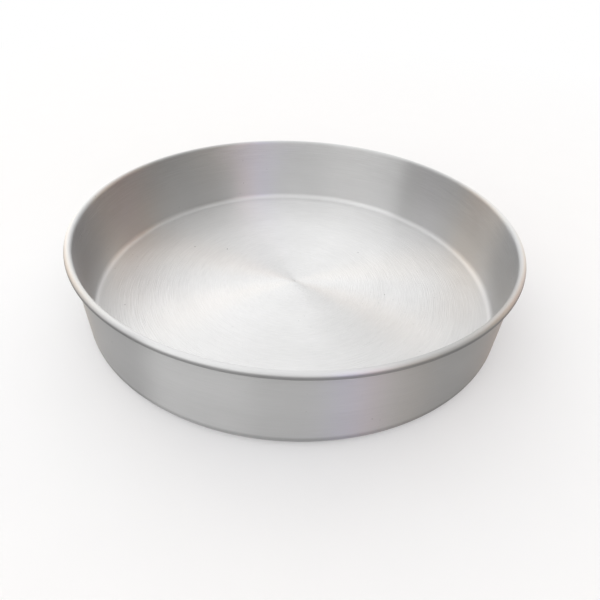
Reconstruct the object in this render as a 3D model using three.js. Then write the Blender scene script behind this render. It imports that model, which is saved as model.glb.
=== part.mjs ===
// Round cake pan of spun aluminium. One sheet forms the floor, the corner and the wall, and its
// edge is rolled outwards over a hoop of wire that keeps the mouth round.
// Millimetres, +Z up. The origin is the centre of the underside, where the pan stands.
import * as THREE from "three";

// Driving dimensions
const rimDiameter = 262; // across the outside of the rolled rim
const baseDiameter = 255.5; // where the line of the wall's outer face meets the table
const panHeight = 50; // from the table to the top of the rim
const sheetThickness = 1;
const cornerRadius = 4; // inside, between the floor and the wall
const wireDiameter = 1.5;
const hoopEndGap = 1.2; // between the cut ends of the wire

// Clearances
const wireClearance = 0.2; // between the wire and the sheet rolled round it
const edgeGap = 0.4; // between the sheet's cut edge and the wall it curls back to

// Facets
const facetsAround = 96;
const facetsPerCorner = 6;
const facetsPerCurl = 14;
const wireSides = 10;

// The curl is a round bead whose inner side runs on from the wall.
const curlInnerRadius = wireDiameter / 2 + wireClearance;
const curlOuterRadius = curlInnerRadius + sheetThickness;
const curlCentre = new THREE.Vector2(
  rimDiameter / 2 - curlOuterRadius,
  panHeight - curlOuterRadius,
);

// The wall's outer face runs from the base circle to touch the inside of the curl.
// Its lean is measured from the vertical, outwards as it rises.
function wallLean() {
  const base = new THREE.Vector2(baseDiameter / 2, 0);
  const toCurl = curlCentre.clone().sub(base);
  return Math.acos(curlInnerRadius / toCurl.length()) - toCurl.angle();
}

// Points along an arc, both ends included.
function arc(centre, radius, from, to, facets) {
  return Array.from({ length: facets + 1 }, (_, i) => {
    const angle = from + ((to - from) * i) / facets;
    return new THREE.Vector2(
      centre.x + radius * Math.cos(angle),
      centre.y + radius * Math.sin(angle),
    );
  });
}

// Half of the sheet's section, from the axis along the underside, up the outer face, round the
// curl, back over the curl's outside and down the inner face to the axis.
function sheetSection() {
  const lean = wallLean();
  const outerCorner = cornerRadius + sheetThickness;
  const straightDown = -Math.PI / 2;
  const facingOut = -lean;
  const facingIn = Math.PI - lean;
  const cornerSetback = outerCorner * Math.tan((facingOut - straightDown) / 2);
  const cornerCentre = new THREE.Vector2(baseDiameter / 2 - cornerSetback, outerCorner);
  const cutEdge = -lean - Math.acos((edgeGap - curlInnerRadius) / curlOuterRadius);
  return [
    new THREE.Vector2(0, 0),
    ...arc(cornerCentre, outerCorner, straightDown, facingOut, facetsPerCorner),
    ...arc(curlCentre, curlInnerRadius, facingIn, cutEdge, facetsPerCurl),
    ...arc(curlCentre, curlOuterRadius, cutEdge, facingIn, facetsPerCurl),
    ...arc(cornerCentre, cornerRadius, facingOut, straightDown, facetsPerCorner),
    new THREE.Vector2(0, sheetThickness),
  ];
}

function makePanShell() {
  const geometry = new THREE.LatheGeometry(sheetSection(), facetsAround);
  geometry.rotateX(Math.PI / 2);
  const spunAluminium = new THREE.MeshStandardMaterial({
    color: 0xd8d7d6,
    roughness: 0.34,
    metalness: 1,
  });
  const shell = new THREE.Mesh(geometry, spunAluminium);
  shell.name = "pan_shell";
  return shell;
}

// An open ring, from one cut end of the wire round to the other.
class HoopCurve extends THREE.Curve {
  constructor(radius, endGap) {
    super();
    this.radius = radius;
    this.halfGapAngle = endGap / radius / 2;
  }

  getPoint(t, target = new THREE.Vector3()) {
    const angle = THREE.MathUtils.lerp(this.halfGapAngle, 2 * Math.PI - this.halfGapAngle, t);
    return target.set(this.radius * Math.cos(angle), this.radius * Math.sin(angle), 0);
  }
}

function makeRimWire() {
  const wireSection = new THREE.Shape();
  wireSection.absarc(0, 0, wireDiameter / 2, 0, 2 * Math.PI);
  const geometry = new THREE.ExtrudeGeometry(wireSection, {
    steps: facetsAround,
    curveSegments: wireSides / 2,
    extrudePath: new HoopCurve(curlCentre.x, hoopEndGap),
  });
  const drawnSteel = new THREE.MeshStandardMaterial({
    color: 0x8d8d90,
    roughness: 0.45,
    metalness: 1,
  });
  const wire = new THREE.Mesh(geometry, drawnSteel);
  wire.name = "rim_wire";
  wire.position.z = curlCentre.y;
  wire.rotation.z = Math.PI / 2; // the cut ends meet at the back
  return wire;
}

const cakePan = new THREE.Group();
cakePan.add(makePanShell(), makeRimWire());

export default cakePan;
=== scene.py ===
from math import cos, pi, radians, sin
import bpy
import numpy as np
from mathutils import Matrix, Vector


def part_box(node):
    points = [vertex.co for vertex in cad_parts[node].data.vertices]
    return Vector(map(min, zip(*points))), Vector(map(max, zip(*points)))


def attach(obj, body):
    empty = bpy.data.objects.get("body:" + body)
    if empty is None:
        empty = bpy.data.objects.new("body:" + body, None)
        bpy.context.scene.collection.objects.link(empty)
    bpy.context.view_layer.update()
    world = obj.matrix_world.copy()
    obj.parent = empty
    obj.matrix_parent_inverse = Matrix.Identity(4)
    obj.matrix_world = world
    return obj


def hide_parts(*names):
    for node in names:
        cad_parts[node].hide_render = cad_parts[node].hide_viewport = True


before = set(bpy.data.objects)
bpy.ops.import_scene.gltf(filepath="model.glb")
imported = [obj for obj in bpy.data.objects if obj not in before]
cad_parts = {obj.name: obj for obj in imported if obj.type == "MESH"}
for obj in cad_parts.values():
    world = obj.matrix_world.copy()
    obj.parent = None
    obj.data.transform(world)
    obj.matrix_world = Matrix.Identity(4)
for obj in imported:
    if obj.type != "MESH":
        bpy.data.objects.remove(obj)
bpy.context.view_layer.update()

_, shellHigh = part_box("pan_shell")
print("frame loaded:", sorted(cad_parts))


# the sheet, metres: the rim's outside and the height come from the frame
panSheet = {
    "rimRadius": shellHigh.x,
    "height": shellHigh.z,
    "baseRadius": 0.12775,       # where the wall's outer line meets the table
    "thickness": 0.0010,
    "cornerRadius": 0.0040,      # inside, floor to wall
    "wireRadius": 0.00075,
    "wireClearance": 0.00020,
    "edgeGap": 0.00040,          # sheet's cut edge to the wall
    "rimTurn": 0.48,             # the angle above level, in radians, where the rim's lighter top ends and its underside, toned dark as painted shade, begins
    "markRadius": 0.0009,        # the lathe centre's dent in the floor
    "markDepth": 0.00025,
    "ridgeHeight": 0.00004,      # tracks of the last passes, inside below the rim
    "ridgePitch": 0.0017,
    "ridgeReach": 0.016,
    "facetsAround": 288,
    "facetsPerCorner": 14,
    "facetsPerCurl": 28,
    "facetsPerEdge": 6,
    "facetsUpWall": 24,
    "facetsDownWall": 96,
    "ringsInMark": 7,
    "ringsOnFloor": 28,
}


def arcPoints(centre, radius, start, stop, facets):
    # centre + radius * (cos, sin) of angles spread evenly from start to stop
    angle = np.linspace(start, stop, facets + 1)
    return np.array(centre) + radius * np.stack([np.cos(angle), np.sin(angle)], -1)


def linePoints(first, last, facets):
    # the points between two ends, ends left out
    share = np.linspace(0, 1, facets + 1)[1:-1, None]
    return np.array(first) * (1 - share) + np.array(last) * share


def curlOf(size):
    inner = size["wireRadius"] + size["wireClearance"]
    outer = inner + size["thickness"]
    return inner, outer, np.array([size["rimRadius"] - outer, size["height"] - outer])


def floorPoints(size, edge):
    # level rings from the corner in to the axis, dipping by depth * (1 - (r / radius)^2)^2 in the mark
    mark = np.linspace(0, size["markRadius"], size["ringsInMark"], endpoint=False)
    radii = np.concatenate([mark, np.linspace(size["markRadius"], edge, size["ringsOnFloor"])])
    dip = size["markDepth"] * np.clip(1 - (radii / size["markRadius"]) ** 2, 0, 1) ** 2
    return np.stack([radii, size["thickness"] - dip], -1)[::-1]


def innerWallPoints(size, top, foot, lean):
    # straight from the curl to the corner, plus height * sin(2 pi s / pitch) towards the axis,
    # fading as exp(-(s / reach)^2) with the distance s from the top
    points = linePoints(top, foot, size["facetsDownWall"])
    down = np.hypot(*(points - top).T)
    swell = np.sin(2 * pi * down / size["ridgePitch"]) * np.exp(-(down / size["ridgeReach"]) ** 2)
    return points + size["ridgeHeight"] * swell[:, None] * [-np.cos(lean), np.sin(lean)]


def sheetSection(size):
    # half section in (radius, height): underside, outer corner, outer face, curl, cut edge,
    # curl's outside, inner face, inner corner, floor
    inner, outer, centre = curlOf(size)
    toCurl = centre - [size["baseRadius"], 0]
    lean = np.arccos(inner / np.hypot(*toCurl)) - np.arctan2(toCurl[1], toCurl[0])
    bend = size["cornerRadius"] + size["thickness"]
    corner = [size["baseRadius"] - bend * np.tan((pi / 2 - lean) / 2), bend]
    half = size["thickness"] / 2
    edgeAngle = -lean - np.arccos((size["edgeGap"] - inner) / outer)
    edgeAngle += half / (inner + half)           # the rounded edge ends where the square one would
    edgeCentre = centre + (inner + half) * np.array([np.cos(edgeAngle), np.sin(edgeAngle)])
    rings = np.linspace(0, corner[0], size["ringsOnFloor"])
    underside = np.stack([rings, 0 * rings], -1)
    outerCorner = arcPoints(corner, bend, -pi / 2, -lean, size["facetsPerCorner"])[1:]
    curlInside = arcPoints(centre, inner, pi - lean, edgeAngle, size["facetsPerCurl"])
    cutEdge = arcPoints(edgeCentre, half, edgeAngle + pi, edgeAngle, size["facetsPerEdge"])[1:-1]
    rimUnder = arcPoints(centre, outer, edgeAngle, size["rimTurn"], size["facetsPerCurl"] // 2)
    rim = arcPoints(centre, outer, size["rimTurn"], pi - lean, size["facetsPerCurl"])[1:]
    innerCorner = arcPoints(corner, size["cornerRadius"], -lean, -pi / 2, size["facetsPerCorner"])
    stretches = {
        "underside": underside,
        "outerCorner": outerCorner,
        "outerWall": linePoints(outerCorner[-1], curlInside[0], size["facetsUpWall"]),
        "curlInside": curlInside,
        "cutEdge": cutEdge,
        "rimUnder": rimUnder,
        "rim": rim,
        "innerWall": innerWallPoints(size, rim[-1], innerCorner[0], lean),
        "innerCorner": innerCorner,
        "floor": floorPoints(size, corner[0])[1:],
    }
    names = np.repeat(list(stretches), [len(points) for points in stretches.values()])
    return np.concatenate(list(stretches.values())), names


def closedRings(rings, around, first):
    # numbers of the points on rings that follow each other from point first, and of the next points round
    start = first + np.arange(rings)[:, None] * around
    turn = np.arange(around)
    return start + turn, start + (turn + 1) % around


def newMesh(name, points, *faces):
    mesh = bpy.data.meshes.new(name)
    mesh.from_pydata(points.tolist(), [], sum((corners.tolist() for corners in faces), []))
    mesh.polygons.foreach_set("use_smooth", np.ones(len(mesh.polygons), bool))
    mesh.update()
    return mesh


def spunMesh(name, section, around):
    # surface of revolution: point (r, z) of the section at angle a is (r cos a, r sin a, z);
    # the first and last points lie on the axis and are single vertices
    angle = np.arange(around) * 2 * pi / around
    r, z = section[1:-1, 0, None], section[1:-1, 1, None]
    rings = np.stack([r * np.cos(angle), r * np.sin(angle), z + 0 * angle], -1).reshape(-1, 3)
    points = np.vstack([[0, 0, section[0, 1]], rings, [0, 0, section[-1, 1]]])
    here, there = closedRings(len(section) - 2, around, 1)
    quads = np.stack([here[:-1], there[:-1], there[1:], here[1:]], -1).reshape(-1, 4)
    first = np.stack([0 * here[0], there[0], here[0]], -1)
    last = np.stack([0 * here[0] + len(points) - 1, here[-1], there[-1]], -1)
    return newMesh(name, points, quads, first, last)


def addPiece(name, mesh, node):
    piece = bpy.data.objects.new(name, mesh)
    bpy.context.scene.collection.objects.link(piece)
    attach(piece, "root")
    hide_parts(node)
    print(name + ":", len(mesh.polygons), "faces")


def paint(mesh, name, values):
    mesh.attributes.new(name, "FLOAT", "POINT").data.foreach_set("value", values.astype(np.float32))


# finish of each stretch of the sheet, with painted light and shade in some of its tones, from the
# underside round to the floor: share of light given back, roughness, and strength of the tool's lines,
# each one level or levels from its start to its end
sheetFinishAndShade = {
    "underside": {"tone": 0.58, "rough": 0.42, "lines": 1.0},
    # painted shade: the outer corner's low tone stands in for the contact shadow on the table that it
    # reflects
    "outerCorner": {"tone": 0.36, "rough": 0.45, "lines": 0.7},
    # painted shade: the outer wall is toned darker than the inside in place of the dimmer surroundings it
    # reflects
    "outerWall": {"tone": (0.50, 0.52), "rough": 0.48, "lines": 0.8},
    "curlInside": {"tone": 0.50, "rough": 0.45, "lines": 0.5},
    "cutEdge": {"tone": 0.60, "rough": 0.40, "lines": 0.5},
    # painted shade: the rim's underside is toned dark in place of the shadow in the crevice between the
    # curl and the wall
    "rimUnder": {"tone": 0.26, "rough": 0.40, "lines": 0.5},
    # painted highlight: the rim is toned lightest on its top, falling off down its sides
    "rim": {"tone": (0.68, 0.84, 0.77, 0.66, 0.59), "rough": 0.43, "lines": 0.3},
    # painted light: the inner wall is toned lighter towards its foot than under the rim
    "innerWall": {"tone": (0.57, 0.64), "rough": 0.34, "lines": (1.6, 1.0, 0.5, 0.4)},
    "innerCorner": {"tone": (0.64, 0.90), "rough": 0.36, "lines": 0.3},
    "floor": {"tone": (0.93, 0.89, 0.86, 0.84), "rough": (0.40, 0.40, 0.38, 0.34), "lines": 1.0},
    "fade": 0.0003,              # metres along the sheet over which one finish passes into the next
}


def alongRings(values, around):
    # one value per point of the section, repeated round each ring
    return np.concatenate([values[:1], np.repeat(values[1:-1], around), values[-1:]])


def fadeAlong(values, along, width):
    # mean of the values along the sheet, weighted by a bell curve of that width
    weight = np.exp(-0.5 * ((along[:, None] - along[None, :]) / width) ** 2) * np.gradient(along)
    return weight @ values / weight.sum(1)


def levelsAlong(names, quality):
    # the levels of each stretch in turn, spread evenly over its points
    spread = []
    for name in dict.fromkeys(names):
        levels = np.atleast_1d(sheetFinishAndShade[name][quality])
        place = np.linspace(0, len(levels) - 1, sum(names == name))
        spread.append(np.interp(place, range(len(levels)), levels))
    return np.concatenate(spread)


def makeShell(size):
    section, names = sheetSection(size)
    around = size["facetsAround"]
    mesh = spunMesh("panShell", section, around)
    along = np.concatenate([[0], np.cumsum(np.hypot(*np.diff(section, axis=0).T))])
    paint(mesh, "along", alongRings(along, around))
    for quality in ("tone", "rough", "lines"):
        levels = fadeAlong(levelsAlong(names, quality), along, sheetFinishAndShade["fade"])
        paint(mesh, quality, alongRings(levels, around))
    addPiece("panShell", mesh, "pan_shell")
    return mesh


shellMesh = makeShell(panSheet)


# the hoop inside the curl, with its cut ends at the back
rimWire = {"endGap": 0.0012, "endRound": 0.0002, "steps": 360, "sides": 20}


def makeWire(size, sheet):
    # a ring section carried round the axis, narrowed to its middle at both ends:
    # point at angles (a, b) is ((R + q r cos b) cos a, (R + q r cos b) sin a, Z + q r sin b)
    _, _, centre = curlOf(sheet)
    r, sides = sheet["wireRadius"], size["sides"]
    start = pi / 2 + size["endGap"] / 2 / centre[0]
    stop = start + 2 * pi - size["endGap"] / centre[0]
    chamfer = size["endRound"] / centre[0]
    body = np.linspace(start + chamfer, stop - chamfer, size["steps"])
    a = np.concatenate([[start], body, [stop]])[:, None]
    narrow = 1 - size["endRound"] / r
    q = np.concatenate([[narrow], np.ones(size["steps"]), [narrow]])[:, None]
    b = np.arange(sides) * 2 * pi / sides
    reach = centre[0] + r * q * np.cos(b)
    level = centre[1] + r * q * np.sin(b)
    rings = np.stack([reach * np.cos(a), reach * np.sin(a), level], -1).reshape(-1, 3)
    caps = [[centre[0] * np.cos(end), centre[0] * np.sin(end), centre[1]] for end in (start, stop)]
    points = np.vstack([caps[:1], rings, caps[1:]])
    here, there = closedRings(len(a), sides, 1)
    quads = np.stack([here[:-1], here[1:], there[1:], there[:-1]], -1).reshape(-1, 4)
    first = np.stack([0 * here[0], here[0], there[0]], -1)
    last = np.stack([0 * here[0] + len(points) - 1, there[-1], here[-1]], -1)
    mesh = newMesh("rimWire", points, quads, first, last)
    paint(mesh, "along", np.concatenate([[0], np.tile(r * np.abs(pi - b), len(a)), [0]]))
    addPiece("rimWire", mesh, "rim_wire")
    return mesh


wireMesh = makeWire(rimWire, panSheet)


def addNode(tree, kind, inputs=None, **settings):
    node = tree.nodes.new(kind)
    for key, value in settings.items():
        setattr(node, key, value)
    for key, value in (inputs or {}).items():
        if isinstance(value, bpy.types.NodeSocket):
            tree.links.new(value, node.inputs[key])
        else:
            node.inputs[key].default_value = value
    return node


def calculate(tree, operation, first, second=0.0):
    return addNode(tree, "ShaderNodeMath", {0: first, 1: second}, operation=operation).outputs[0]


def vectorMath(tree, operation, first, second=(0, 0, 0)):
    # the second is a factor for SCALE and a vector otherwise
    inputs = {0: first, "Scale" if operation == "SCALE" else 1: second}
    node = addNode(tree, "ShaderNodeVectorMath", inputs, operation=operation)
    return node.outputs["Value" if operation in ("LENGTH", "DOT_PRODUCT") else "Vector"]


def stretchRange(tree, value, low, high, newLow=0.0, newHigh=1.0):
    limits = {"Value": value, "From Min": low, "From Max": high, "To Min": newLow, "To Max": newHigh}
    return addNode(tree, "ShaderNodeMapRange", limits).outputs[0]


def newGroup(name, inputs, outputs):
    group = bpy.data.node_groups.new(name, "ShaderNodeTree")
    for label, kind in inputs.items():
        group.interface.new_socket(label, in_out="INPUT", socket_type=kind)
    for label in outputs:
        group.interface.new_socket(label, in_out="OUTPUT", socket_type="NodeSocketFloat")
    return group, addNode(group, "NodeGroupInput").outputs


def newMaterial(name):
    material = bpy.data.materials.new(name)
    material.use_nodes = True
    material.node_tree.nodes.clear()
    return material, material.node_tree


# limits of the noise that count as none and full, and how much fine detail it has
trackNoise = {"limits": (0.25, 0.75), "detail": 2.0}
markNoise = {
    "smudgeLimits": (0.3, 0.7),
    "cloudLimits": (0.52, 0.60),     # specks lie inside these clouds
    "speckLimits": (0.84, 0.90),
    "smudgeDetail": 3.0,
    "speckDetail": 0.0,
}


def makeToolTracks(noise):
    # noise stretched along the tool's path: steps of one pitch across it, a few breaks along it
    group, given = newGroup("toolTracks", {
        "Place": "NodeSocketVector",
        "Along": "NodeSocketFloat",
        "Pitch": "NodeSocketFloat",
        "Breaks": "NodeSocketFloat",
    }, ["Track"])
    flat = vectorMath(group, "MULTIPLY", given["Place"], (1, 1, 0))
    turn = vectorMath(group, "SCALE", vectorMath(group, "NORMALIZE", flat), given["Breaks"])
    step = calculate(group, "DIVIDE", given["Along"], given["Pitch"])
    lift = addNode(group, "ShaderNodeCombineXYZ", {"Z": step}).outputs[0]
    spot = vectorMath(group, "ADD", turn, lift)
    path = addNode(group, "ShaderNodeTexNoise", {"Vector": spot, "Scale": 1.0, "Detail": noise["detail"]})
    addNode(group, "NodeGroupOutput", {"Track": stretchRange(group, path.outputs[0], *noise["limits"])})
    return group


def makeHandling(noise):
    # smudges in soft clouds, and specks where a fine noise peaks inside them
    group, given = newGroup("handling", {
        "Place": "NodeSocketVector",
        "Smudge Size": "NodeSocketFloat",
        "Speck Size": "NodeSocketFloat",
    }, ["Smudge", "Speck"])
    wide = calculate(group, "DIVIDE", 1.0, given["Smudge Size"])
    inputs = {"Vector": given["Place"], "Scale": wide, "Detail": noise["smudgeDetail"]}
    cloud = addNode(group, "ShaderNodeTexNoise", inputs).outputs[0]
    fine = calculate(group, "DIVIDE", 1.0, given["Speck Size"])
    inputs = {"Vector": given["Place"], "Scale": fine, "Detail": noise["speckDetail"]}
    grit = addNode(group, "ShaderNodeTexNoise", inputs).outputs[0]
    peak = stretchRange(group, grit, *noise["speckLimits"])
    inCloud = stretchRange(group, cloud, *noise["cloudLimits"])
    addNode(group, "NodeGroupOutput", {
        "Smudge": stretchRange(group, cloud, *noise["smudgeLimits"]),
        "Speck": calculate(group, "MULTIPLY", peak, inCloud),
    })
    return group


toolTracks = makeToolTracks(trackNoise)
handling = makeHandling(markNoise)


def readSurface(tree):
    place = addNode(tree, "ShaderNodeTexCoord").outputs["Object"]
    along = addNode(tree, "ShaderNodeAttribute", attribute_name="along").outputs["Fac"]
    return place, along


def trackOf(tree, place, along, pitch, breaks):
    inputs = {"Place": place, "Along": along, "Pitch": pitch, "Breaks": breaks}
    return addNode(tree, "ShaderNodeGroup", inputs, node_tree=toolTracks).outputs["Track"]


def marksOf(tree, place, finish):
    inputs = {"Place": place, "Smudge Size": finish["smudgeSize"], "Speck Size": finish["speckSize"]}
    return addNode(tree, "ShaderNodeGroup", inputs, node_tree=handling).outputs


def mixAround(tree, value, amount):
    # 1 - amount / 2 to 1 + amount / 2 as the value goes from 0 to 1
    return stretchRange(tree, value, 0.0, 1.0, 1 - amount / 2, 1 + amount / 2)


# spun aluminium: satin, with tracks round the axis that spread the light across them
aluminium = {
    "tint": (1.0, 0.999, 0.997),
    "anisotropy": 1.0,
    "spreadTurn": 0.25,          # of a turn, so that the light spreads across the tracks
    "finePitch": 0.0004,
    "fineBreaks": 3.0,
    "trackPitch": 0.0008,
    "trackBreaks": 7.0,
    "bandPitch": 0.011,
    "bandBreaks": 0.7,
    "trackTone": 0.08,
    "bandTone": 0.03,
    "smudgeTone": 0.05,
    "smudgeSize": 0.05,
    "speckSize": 0.0016,
    "speckTone": 0.45,
    "trackRough": 0.10,
    "trackDepth": 0.00007,
}


def makeSpunAluminium(finish):
    material, tree = newMaterial("spunAluminium")
    place, along = readSurface(tree)
    tone = addNode(tree, "ShaderNodeAttribute", attribute_name="tone").outputs["Fac"]
    rough = addNode(tree, "ShaderNodeAttribute", attribute_name="rough").outputs["Fac"]
    lines = addNode(tree, "ShaderNodeAttribute", attribute_name="lines").outputs["Fac"]
    fine = trackOf(tree, place, along, finish["finePitch"], finish["fineBreaks"])
    track = trackOf(tree, place, along, finish["trackPitch"], finish["trackBreaks"])
    band = trackOf(tree, place, along, finish["bandPitch"], finish["bandBreaks"])
    marks = marksOf(tree, place, finish)
    for value, amount in ((band, "bandTone"), (marks["Smudge"], "smudgeTone")):
        tone = calculate(tree, "MULTIPLY", tone, mixAround(tree, value, finish[amount]))
    groove = stretchRange(tree, track, 0.0, 1.0, -finish["trackTone"] / 2, finish["trackTone"] / 2)
    groove = calculate(tree, "MULTIPLY", groove, lines)
    tone = calculate(tree, "MULTIPLY", tone, calculate(tree, "ADD", groove, 1.0))
    speck = stretchRange(tree, marks["Speck"], 0.0, 1.0, 1.0, finish["speckTone"])
    tone = calculate(tree, "MULTIPLY", tone, speck)
    rough = calculate(tree, "MULTIPLY", rough, mixAround(tree, track, finish["trackRough"]))
    height = calculate(tree, "MULTIPLY", calculate(tree, "ADD", fine, track), lines)
    bump = addNode(tree, "ShaderNodeBump", {"Height": height, "Distance": finish["trackDepth"]})
    tangent = addNode(tree, "ShaderNodeTangent", direction_type="RADIAL", axis="Z")
    metal = addNode(tree, "ShaderNodeBsdfPrincipled", {
        "Base Color": vectorMath(tree, "SCALE", finish["tint"], tone),
        "Metallic": 1.0,
        "Roughness": rough,
        "Anisotropic": finish["anisotropy"],
        "Anisotropic Rotation": finish["spreadTurn"],
        "Tangent": tangent.outputs["Tangent"],
        "Normal": bump.outputs["Normal"],
    })
    addNode(tree, "ShaderNodeOutputMaterial", {"Surface": metal.outputs["BSDF"]})
    return material


shellMesh.materials.append(makeSpunAluminium(aluminium))


# drawn steel of the hoop: die lines along the wire, dulled by a thin film of drawing soap
steel = {
    "colour": (0.50, 0.50, 0.51),
    "roughness": 0.42,
    "diePitch": 0.00012,
    "dieBreaks": 9.0,
    "dieTone": 0.25,
    "dieDepth": 0.000004,
    "smudgeSize": 0.02,
    "smudgeTone": 0.25,
    "smudgeRough": 0.4,
    "speckSize": 0.0006,
}


def makeDrawnSteel(finish):
    material, tree = newMaterial("drawnSteel")
    place, along = readSurface(tree)
    die = trackOf(tree, place, along, finish["diePitch"], finish["dieBreaks"])
    smudge = marksOf(tree, place, finish)["Smudge"]
    tone = mixAround(tree, die, finish["dieTone"])
    tone = calculate(tree, "MULTIPLY", tone, mixAround(tree, smudge, finish["smudgeTone"]))
    rough = mixAround(tree, smudge, finish["smudgeRough"])
    rough = calculate(tree, "MULTIPLY", rough, finish["roughness"])
    bump = addNode(tree, "ShaderNodeBump", {"Height": die, "Distance": finish["dieDepth"]})
    metal = addNode(tree, "ShaderNodeBsdfPrincipled", {
        "Base Color": vectorMath(tree, "SCALE", finish["colour"], tone),
        "Metallic": 1.0,
        "Roughness": rough,
        "Normal": bump.outputs["Normal"],
    })
    addNode(tree, "ShaderNodeOutputMaterial", {"Surface": metal.outputs["BSDF"]})
    return material


wireMesh.materials.append(makeDrawnSteel(steel))
print("materials made")


# white table: matt, with the faint mottle of painted board; part of what is seen of it is plain white,
# and all of it away from the pan
table = {
    "half": 4.0,
    "under": 0.0001,             # below the pan's underside
    "tone": 0.95,
    "mottle": 0.01,
    "mottleSize": 0.03,
    "plainWhite": 0.20,
    "shadeReach": 0.25,          # the plain white grows from here
    "whiteReach": 0.90,          # to here, metres from the axis
}


def makeTable(size):
    side, level = size["half"], -size["under"]
    mesh = bpy.data.meshes.new("studioFloor")
    corners = [(-side, -side, level), (side, -side, level), (side, side, level), (-side, side, level)]
    mesh.from_pydata(corners, [], [(0, 1, 2, 3)])
    board = bpy.data.objects.new("studioFloor", mesh)
    bpy.context.scene.collection.objects.link(board)
    material, tree = newMaterial("whiteBoard")
    place = addNode(tree, "ShaderNodeTexCoord").outputs["Object"]
    cloud = addNode(tree, "ShaderNodeTexNoise", {"Vector": place, "Scale": 1 / size["mottleSize"]})
    darkest, lightest = size["tone"] - size["mottle"], size["tone"] + size["mottle"]
    tone = stretchRange(tree, cloud.outputs[0], 0.0, 1.0, darkest, lightest)
    colour = addNode(tree, "ShaderNodeCombineXYZ", {"X": tone, "Y": tone, "Z": tone})
    paper = addNode(tree, "ShaderNodeBsdfDiffuse", {"Color": colour.outputs[0]})
    path = addNode(tree, "ShaderNodeLightPath").outputs
    seen = calculate(tree, "MAXIMUM", path["Is Camera Ray"], path["Is Glossy Ray"])
    seen = calculate(tree, "MAXIMUM", seen, path["Is Transmission Ray"])
    away = vectorMath(tree, "LENGTH", place)
    share = stretchRange(tree, away, size["shadeReach"], size["whiteReach"], size["plainWhite"], 1.0)
    share = calculate(tree, "MULTIPLY", seen, share)
    white = addNode(tree, "ShaderNodeEmission", {"Strength": 1.0})
    both = addNode(tree, "ShaderNodeMixShader", {0: share, 1: paper.outputs[0], 2: white.outputs[0]})
    addNode(tree, "ShaderNodeOutputMaterial", {"Surface": both.outputs[0]})
    mesh.materials.append(material)


makeTable(table)


# camera: degrees and metres, focal length in pixels of the 600-pixel picture
cameraView = {
    "elevation": 32.69,
    "distance": 0.3034,          # to a point on the axis
    "axisPoint": 0.0197,
    "aimDown": 5.17,             # the view's centre lies below and to the right of that point
    "aimRight": 0.68,
    "roll": 2.49,
    "focalPixels": 469.2,
    "picturePixels": 600,
    "sensor": 36.0,
    "nearest": 0.01,
}


def addCamera(view):
    data = bpy.data.cameras.new("camera")
    data.sensor_width = view["sensor"]
    data.lens = view["sensor"] * view["focalPixels"] / view["picturePixels"]
    data.clip_start = view["nearest"]
    rise = radians(view["elevation"])
    eye = Vector((0, -cos(rise), sin(rise))) * view["distance"] + Vector((0, 0, view["axisPoint"]))
    camera = bpy.data.objects.new("camera", data)
    camera.matrix_world = (
        Matrix.Translation(eye)
        @ Matrix.Rotation(radians(90 - view["elevation"] - view["aimDown"]), 4, "X")
        @ Matrix.Rotation(radians(-view["aimRight"]), 4, "Y")
        @ Matrix.Rotation(radians(view["roll"]), 4, "Z")
    )
    bpy.context.scene.collection.objects.link(camera)
    bpy.context.scene.camera = camera


addCamera(cameraView)


# light tent round the table: even cloth with soft panels and dim sides, in degrees
# azimuth runs from the right, counter-clockwise seen from above, and the camera stands at 270;
# a panel is even within half on each side of the azimuth it is at, fades over soft beyond that,
# and fades upwards from low to top
tent = {
    "radius": 6.0,               # metres
    "foot": -6,
    "rings": 24,
    "sectors": 72,
    "cloth": (1.06, 1.06, 1.06),
    "dimmest": 0.20,
}
panels = {
    "dimRight": {"at": 355, "half": 32, "soft": 21, "low": 25, "top": 86, "gain": (-0.79, -0.80, -0.82)},
    "dimLeft": {"at": 172, "half": 30, "soft": 5, "low": 9, "top": 28, "gain": (-0.86, -0.87, -0.87)},
    "frontLeft": {"at": 230, "half": 20, "soft": 8, "low": 18, "top": 45, "gain": (0.98, 0.98, 0.98)},
    "front": {"at": 287, "half": 23, "soft": 15, "low": 8, "top": 38, "gain": (0.46, 0.46, 0.46)},
    "back": {"at": 112, "half": 23, "soft": 8, "low": 38, "top": 88, "gain": (0.43, 0.43, 0.43)},
    "dimBackRight": {"at": 63, "half": 22, "soft": 30, "low": 8, "top": 30, "gain": (-0.33, -0.32, -0.31)},
    "lavender": {"at": 294, "half": 3, "soft": 4, "low": 10, "top": 40, "gain": (0.05, 0.00, 0.92)},
    "pink": {"at": 304, "half": 2, "soft": 4, "low": 10, "top": 40, "gain": (0.72, 0.00, 0.18)},
    "beige": {"at": 321, "half": 8, "soft": 6, "low": 4, "top": 15, "gain": (1.30, 0.95, 0.65)},
    "warmBack": {"at": 143, "half": 12, "soft": 8, "low": 25, "top": 48, "gain": (0.30, 0.09, -0.14)},
    "dimBack": {"at": 118, "half": 10, "soft": 10, "low": 8, "top": 24, "gain": (-0.28, -0.24, -0.20)},
    "warmRight": {"at": 33, "half": 14, "soft": 10, "low": 28, "top": 50, "gain": (0.28, 0.06, -0.14)},
}


def fadeBetween(tree, value, none, full):
    limits = {"Value": value, "From Min": none, "From Max": full}
    return addNode(tree, "ShaderNodeMapRange", limits, interpolation_type="SMOOTHSTEP").outputs[0]


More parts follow.
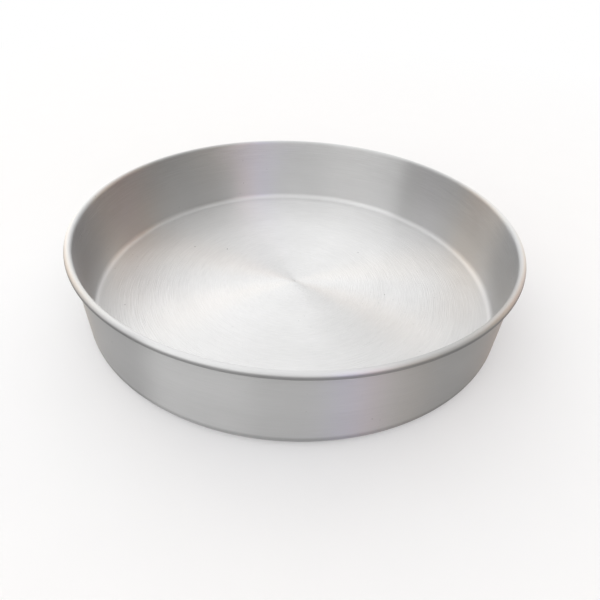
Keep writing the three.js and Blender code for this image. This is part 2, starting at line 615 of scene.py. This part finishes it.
def tentMesh(size):
    # cap of a sphere: point at elevation e and azimuth a is R (cos e cos a, cos e sin a, sin e)
    rise = np.radians(np.linspace(size["foot"], 90, size["rings"], endpoint=False))[:, None]
    turn = np.arange(size["sectors"]) * 2 * pi / size["sectors"]
    reach = np.cos(rise)
    rings = np.stack([reach * np.cos(turn), reach * np.sin(turn), np.sin(rise) + 0 * turn], -1)
    points = size["radius"] * np.vstack([rings.reshape(-1, 3), [0, 0, 1]])
    here, there = closedRings(size["rings"], size["sectors"], 0)
    quads = np.stack([here[:-1], here[1:], there[1:], there[:-1]], -1).reshape(-1, 4)
    crown = np.stack([here[-1], 0 * here[-1] + len(points) - 1, there[-1]], -1)
    return newMesh("lightTent", points, quads, crown)


def makeTent(size):
    # light from a direction = the cloth's + each panel's gain * its fade round * its fade upwards,
    # held at the dimmest level; the camera sees the plain white behind the tent instead of it
    mesh = tentMesh(size)
    cloth = bpy.data.objects.new("lightTent", mesh)
    bpy.context.scene.collection.objects.link(cloth)
    cloth.visible_camera = False
    material, tree = newMaterial("tentLight")
    place = addNode(tree, "ShaderNodeTexCoord").outputs["Object"]
    height = addNode(tree, "ShaderNodeSeparateXYZ", {0: place}).outputs["Z"]
    bearing = vectorMath(tree, "NORMALIZE", vectorMath(tree, "MULTIPLY", place, (1, 1, 0)))
    light = size["cloth"]
    for panel in panels.values():
        turn, half = radians(panel["at"]), radians(panel["half"])
        top, low = (size["radius"] * sin(radians(panel[end])) for end in ("top", "low"))
        near = vectorMath(tree, "DOT_PRODUCT", bearing, (cos(turn), sin(turn), 0))
        sideways = fadeBetween(tree, near, cos(half + radians(panel["soft"])), cos(half))
        share = calculate(tree, "MULTIPLY", sideways, fadeBetween(tree, height, top, low))
        light = vectorMath(tree, "ADD", light, vectorMath(tree, "SCALE", panel["gain"], share))
    light = vectorMath(tree, "MAXIMUM", light, (size["dimmest"],) * 3)
    shine = addNode(tree, "ShaderNodeEmission", {"Color": light, "Strength": 1.0})
    addNode(tree, "ShaderNodeOutputMaterial", {"Surface": shine.outputs[0]})
    mesh.materials.append(material)


makeTent(tent)


def makeWorld():
    # plain white behind everything
    world = bpy.data.worlds.new("room")
    bpy.context.scene.world = world
    world.use_nodes = True
    tree = world.node_tree
    tree.nodes.clear()
    shine = addNode(tree, "ShaderNodeBackground", {"Color": (1, 1, 1, 1), "Strength": 1.0})
    addNode(tree, "ShaderNodeOutputWorld", {"Surface": shine.outputs[0]})


makeWorld()
print("stage, camera and light set")

bpy.context.scene.view_settings.view_transform = "Standard"
